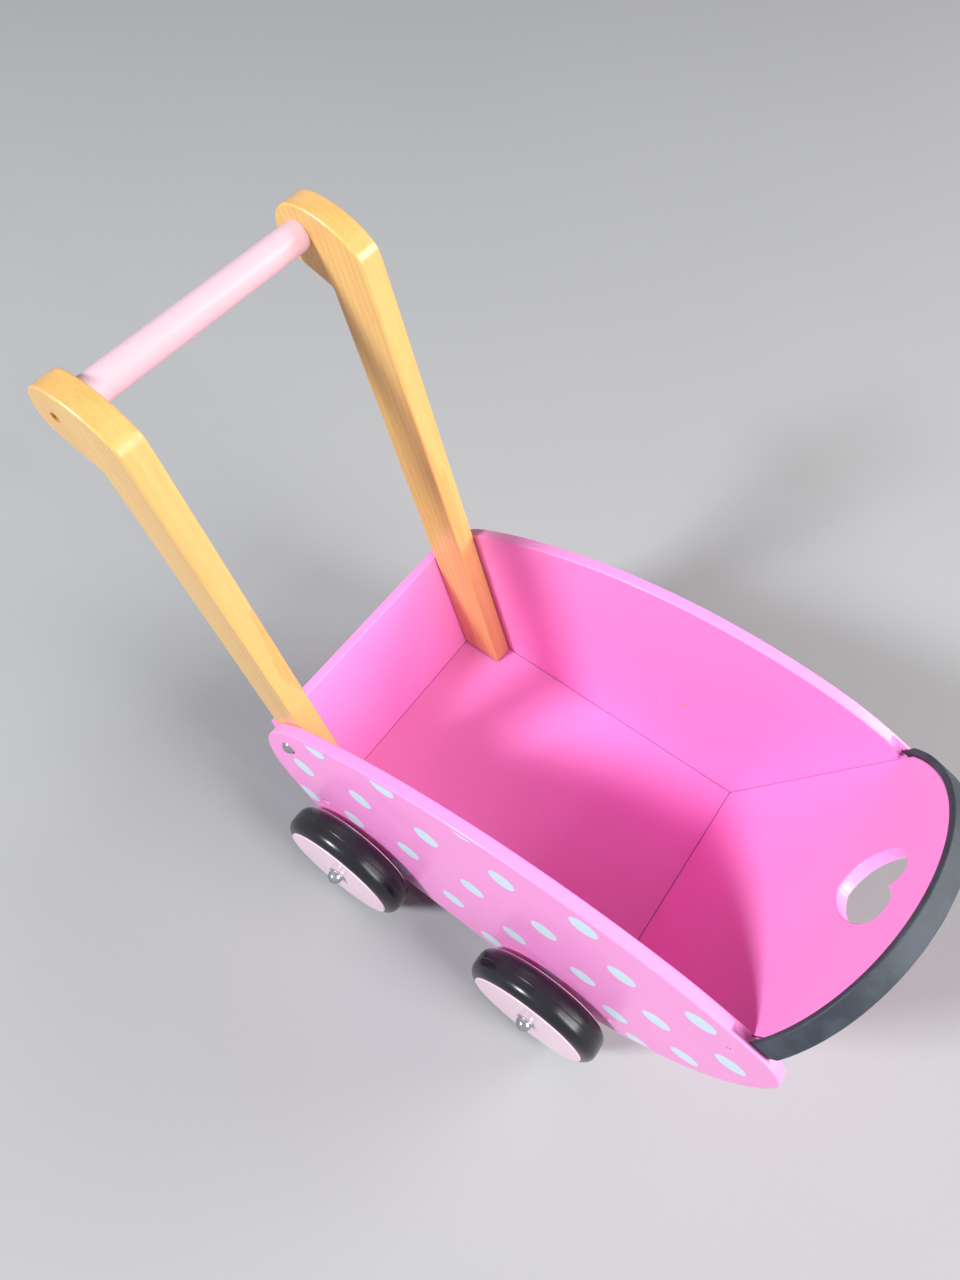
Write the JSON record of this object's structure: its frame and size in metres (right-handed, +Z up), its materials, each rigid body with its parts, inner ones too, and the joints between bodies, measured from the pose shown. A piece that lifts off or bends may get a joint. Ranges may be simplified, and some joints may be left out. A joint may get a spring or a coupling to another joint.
{
  "type": "doll stroller",
  "caption": "Wooden doll stroller: painted boat-shaped tub with a heart cut-out, bumper strip, arched handle arms with a round grip, and free-rolling wheels on fixed axles.",
  "frame": {"origin": "on the ground, below the middle of the whole object's box", "axes": "+X forward, the way it is pushed; +Y to the left; +Z up"},
  "size_m": [0.592, 0.34, 0.5037],
  "materials": {
    "pink_paint": "satin pink paint on fibreboard",
    "dotted_pink_paint": "satin pink paint with pale blue-white dots on the outer face",
    "varnished_beech": "clear satin varnish",
    "pale_pink_paint": "gloss pale pink paint on wood",
    "bumper_foam": "matt, slightly scuffed",
    "tyre": "smooth, semi-gloss",
    "nylon": "satin",
    "plated_steel": "zinc plated",
    "chrome": "polished"
  },
  "bodies": {
    "frame": {"side_panel_right": "dotted_pink_paint", "side_panel_left": "dotted_pink_paint", "floor_panel": "pink_paint", "rear_panel": "pink_paint", "front_panel": "pink_paint", "bumper_strip": "bumper_foam", "handle_arm_right": "varnished_beech", "handle_arm_left": "varnished_beech", "handle_grip": "pale_pink_paint", "grip_screws": "plated_steel", "arm_bolts": "chrome", "arm_inserts": "plated_steel", "arm_screws": "plated_steel", "rear_panel_screws": "plated_steel", "front_panel_screws": "plated_steel", "floor_screws": "plated_steel", "front_axle": "plated_steel", "rear_axle": "plated_steel", "spacer_washers": "plated_steel", "outer_washers": "plated_steel", "cap_nuts": "chrome"},
    "wheel_front_right": {"wheel_disc_front_right": "pale_pink_paint", "tyre_front_right": "tyre", "hub_bush_front_right": "nylon"},
    "wheel_front_left": {"wheel_disc_front_left": "pale_pink_paint", "tyre_front_left": "tyre", "hub_bush_front_left": "nylon"},
    "wheel_rear_right": {"wheel_disc_rear_right": "pale_pink_paint", "tyre_rear_right": "tyre", "hub_bush_rear_right": "nylon"},
    "wheel_rear_left": {"wheel_disc_rear_left": "pale_pink_paint", "tyre_rear_left": "tyre", "hub_bush_rear_left": "nylon"}
  },
  "joints": [
    {"name": "spin_front_right", "type": "hinge", "parent": "frame", "child": "wheel_front_right", "pos_m": [0.13146, 0, 0.063], "axis": [0, 1, 0], "continuous": true},
    {"name": "spin_front_left", "type": "hinge", "parent": "frame", "child": "wheel_front_left", "pos_m": [0.13146, 0, 0.063], "axis": [0, 1, 0], "continuous": true},
    {"name": "spin_rear_right", "type": "hinge", "parent": "frame", "child": "wheel_rear_right", "pos_m": [-0.07654, 0, 0.063], "axis": [0, 1, 0], "continuous": true},
    {"name": "spin_rear_left", "type": "hinge", "parent": "frame", "child": "wheel_rear_left", "pos_m": [-0.07654, 0, 0.063], "axis": [0, 1, 0], "continuous": true}
  ]
}
